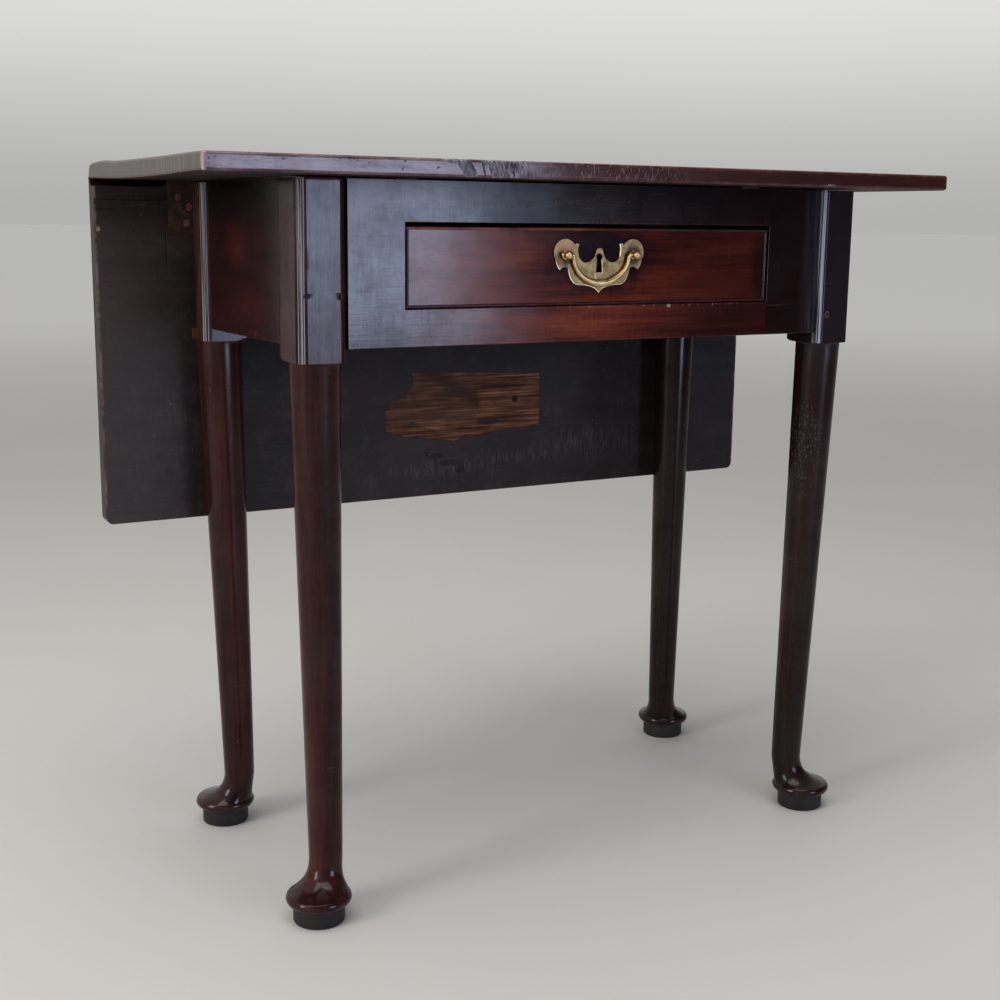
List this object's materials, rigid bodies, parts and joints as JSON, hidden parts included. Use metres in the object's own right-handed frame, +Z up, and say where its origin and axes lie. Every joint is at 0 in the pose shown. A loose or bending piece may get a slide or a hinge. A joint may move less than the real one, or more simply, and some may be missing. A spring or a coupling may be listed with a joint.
{
  "type": "drop-leaf table",
  "caption": "Mahogany tea table with a rule-jointed drop leaf, a frieze drawer with a brass bail handle, turned legs on pad feet and a hinged gate leg.",
  "frame": {"origin": "on the floor, under the middle of the bounding box of the table with its leaf hanging and its drawer closed", "axes": "+X along the drawer front to the right as seen from the front, -Y to the front, +Y to the leaf, +Z up"},
  "size_m": [0.824, 0.3606, 0.711],
  "materials": {
    "mahogany": "old polish, deep red brown",
    "mahogany_dark": "old polish, nearly black",
    "mahogany_red": "old polish, redder",
    "oak": "dry, unpolished",
    "pine": "dry, unpolished",
    "iron": "wrought, rust brown",
    "brass": "cast, aged and rubbed"
  },
  "bodies": {
    "frame": {"top_board": "mahogany", "leg_front_left": "mahogany", "leg_front_right": "mahogany", "leg_back_right": "mahogany", "swing_leg": "mahogany", "front_stile_left": "mahogany", "front_stile_right": "mahogany", "front_top_rail": "mahogany", "front_bottom_rail": "mahogany_red", "side_apron_left": "mahogany_red", "side_apron_right": "mahogany_red", "back_rail": "pine", "fly_rail_fixed": "oak", "fly_rail_swing": "oak", "fly_rail_pin": "iron", "fly_rail_screws": "iron", "drawer_runner_left": "oak", "drawer_runner_right": "oak", "drawer_guide_left": "oak", "drawer_guide_right": "oak", "drawer_kicker_left": "pine", "drawer_kicker_right": "pine", "drawer_stops": "pine", "glue_blocks": "pine", "tenon_pegs": "mahogany_dark", "top_screws": "iron", "hinge_top_flaps": "iron", "hinge_pins": "iron", "hinge_top_screws": "iron"},
    "leaf": {"drop_leaf": "mahogany_dark", "hinge_leaf_flaps": "iron", "hinge_leaf_screws": "iron"},
    "drawer": {"drawer_front": "mahogany_red", "drawer_cock_beads": "mahogany_dark", "drawer_side_left": "oak", "drawer_side_right": "oak", "drawer_back": "oak", "drawer_bottom": "oak", "drawer_bottom_nails": "iron", "handle_backplate": "brass", "handle_post_left": "brass", "handle_post_right": "brass", "handle_nuts": "iron", "lock_case": "brass", "lock_screws": "iron"},
    "bolt": {"lock_bolt": "iron"},
    "bail": {"handle_bail": "brass"}
  },
  "joints": [
    {"name": "leaf_hinge", "type": "hinge", "parent": "frame", "child": "leaf", "pos_m": [0, 0.16775, 0.6985], "axis": [1, 0, 0], "range_deg": [0, 90]},
    {"name": "drawer_slide", "type": "slide", "parent": "frame", "child": "drawer", "axis": [0, -1, 0], "range_m": [0, 0.2]},
    {"name": "lock_bolt_slide", "type": "slide", "parent": "drawer", "child": "bolt", "axis": [0, 0, 1], "range_m": [0, 0.009]},
    {"name": "bail_swing", "type": "hinge", "parent": "drawer", "child": "bail", "pos_m": [-0.006, -0.14675, 0.62685], "axis": [-1, 0, 0], "range_deg": [0, 90]}
  ]
}
